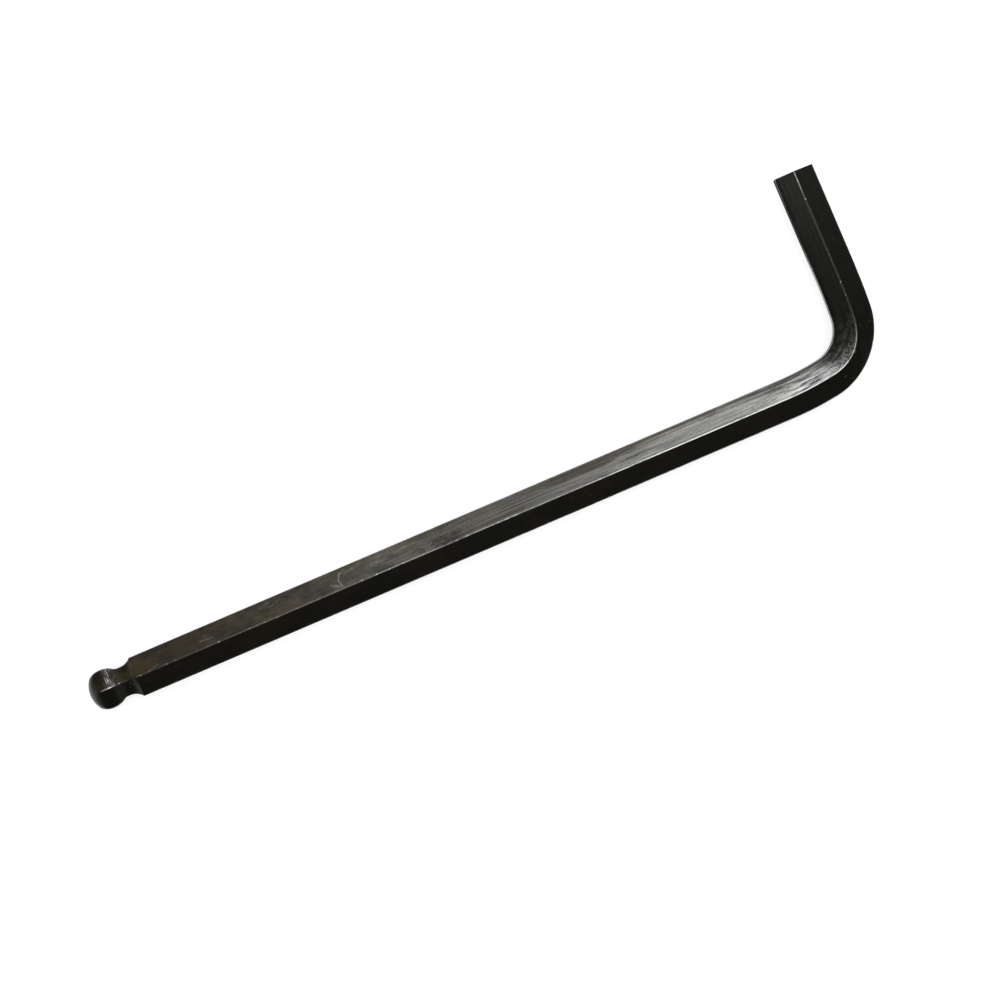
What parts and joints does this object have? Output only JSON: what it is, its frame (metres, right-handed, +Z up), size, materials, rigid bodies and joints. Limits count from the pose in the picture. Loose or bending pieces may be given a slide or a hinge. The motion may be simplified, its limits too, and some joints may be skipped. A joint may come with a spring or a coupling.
{
  "type": "hex key",
  "caption": "Long L-shaped hex key with a ground ball end on the long arm and a square-cut short arm, in dark finished steel.",
  "frame": {"origin": "on the surface that the key lies on, below the middle of its outline", "axes": "+X along the long arm, from the ball end to the bend; +Y along the short arm, from the bend to its cut end; +Z up, square to the plane of the bend"},
  "size_m": [0.169, 0.044, 0.0091],
  "materials": {
    "dark_steel": "blackened and oiled drawn steel, worn to bare metal on the upper edge and inside the bend"
  },
  "bodies": {
    "root": {"hex_key": "dark_steel"}
  },
  "joints": []
}
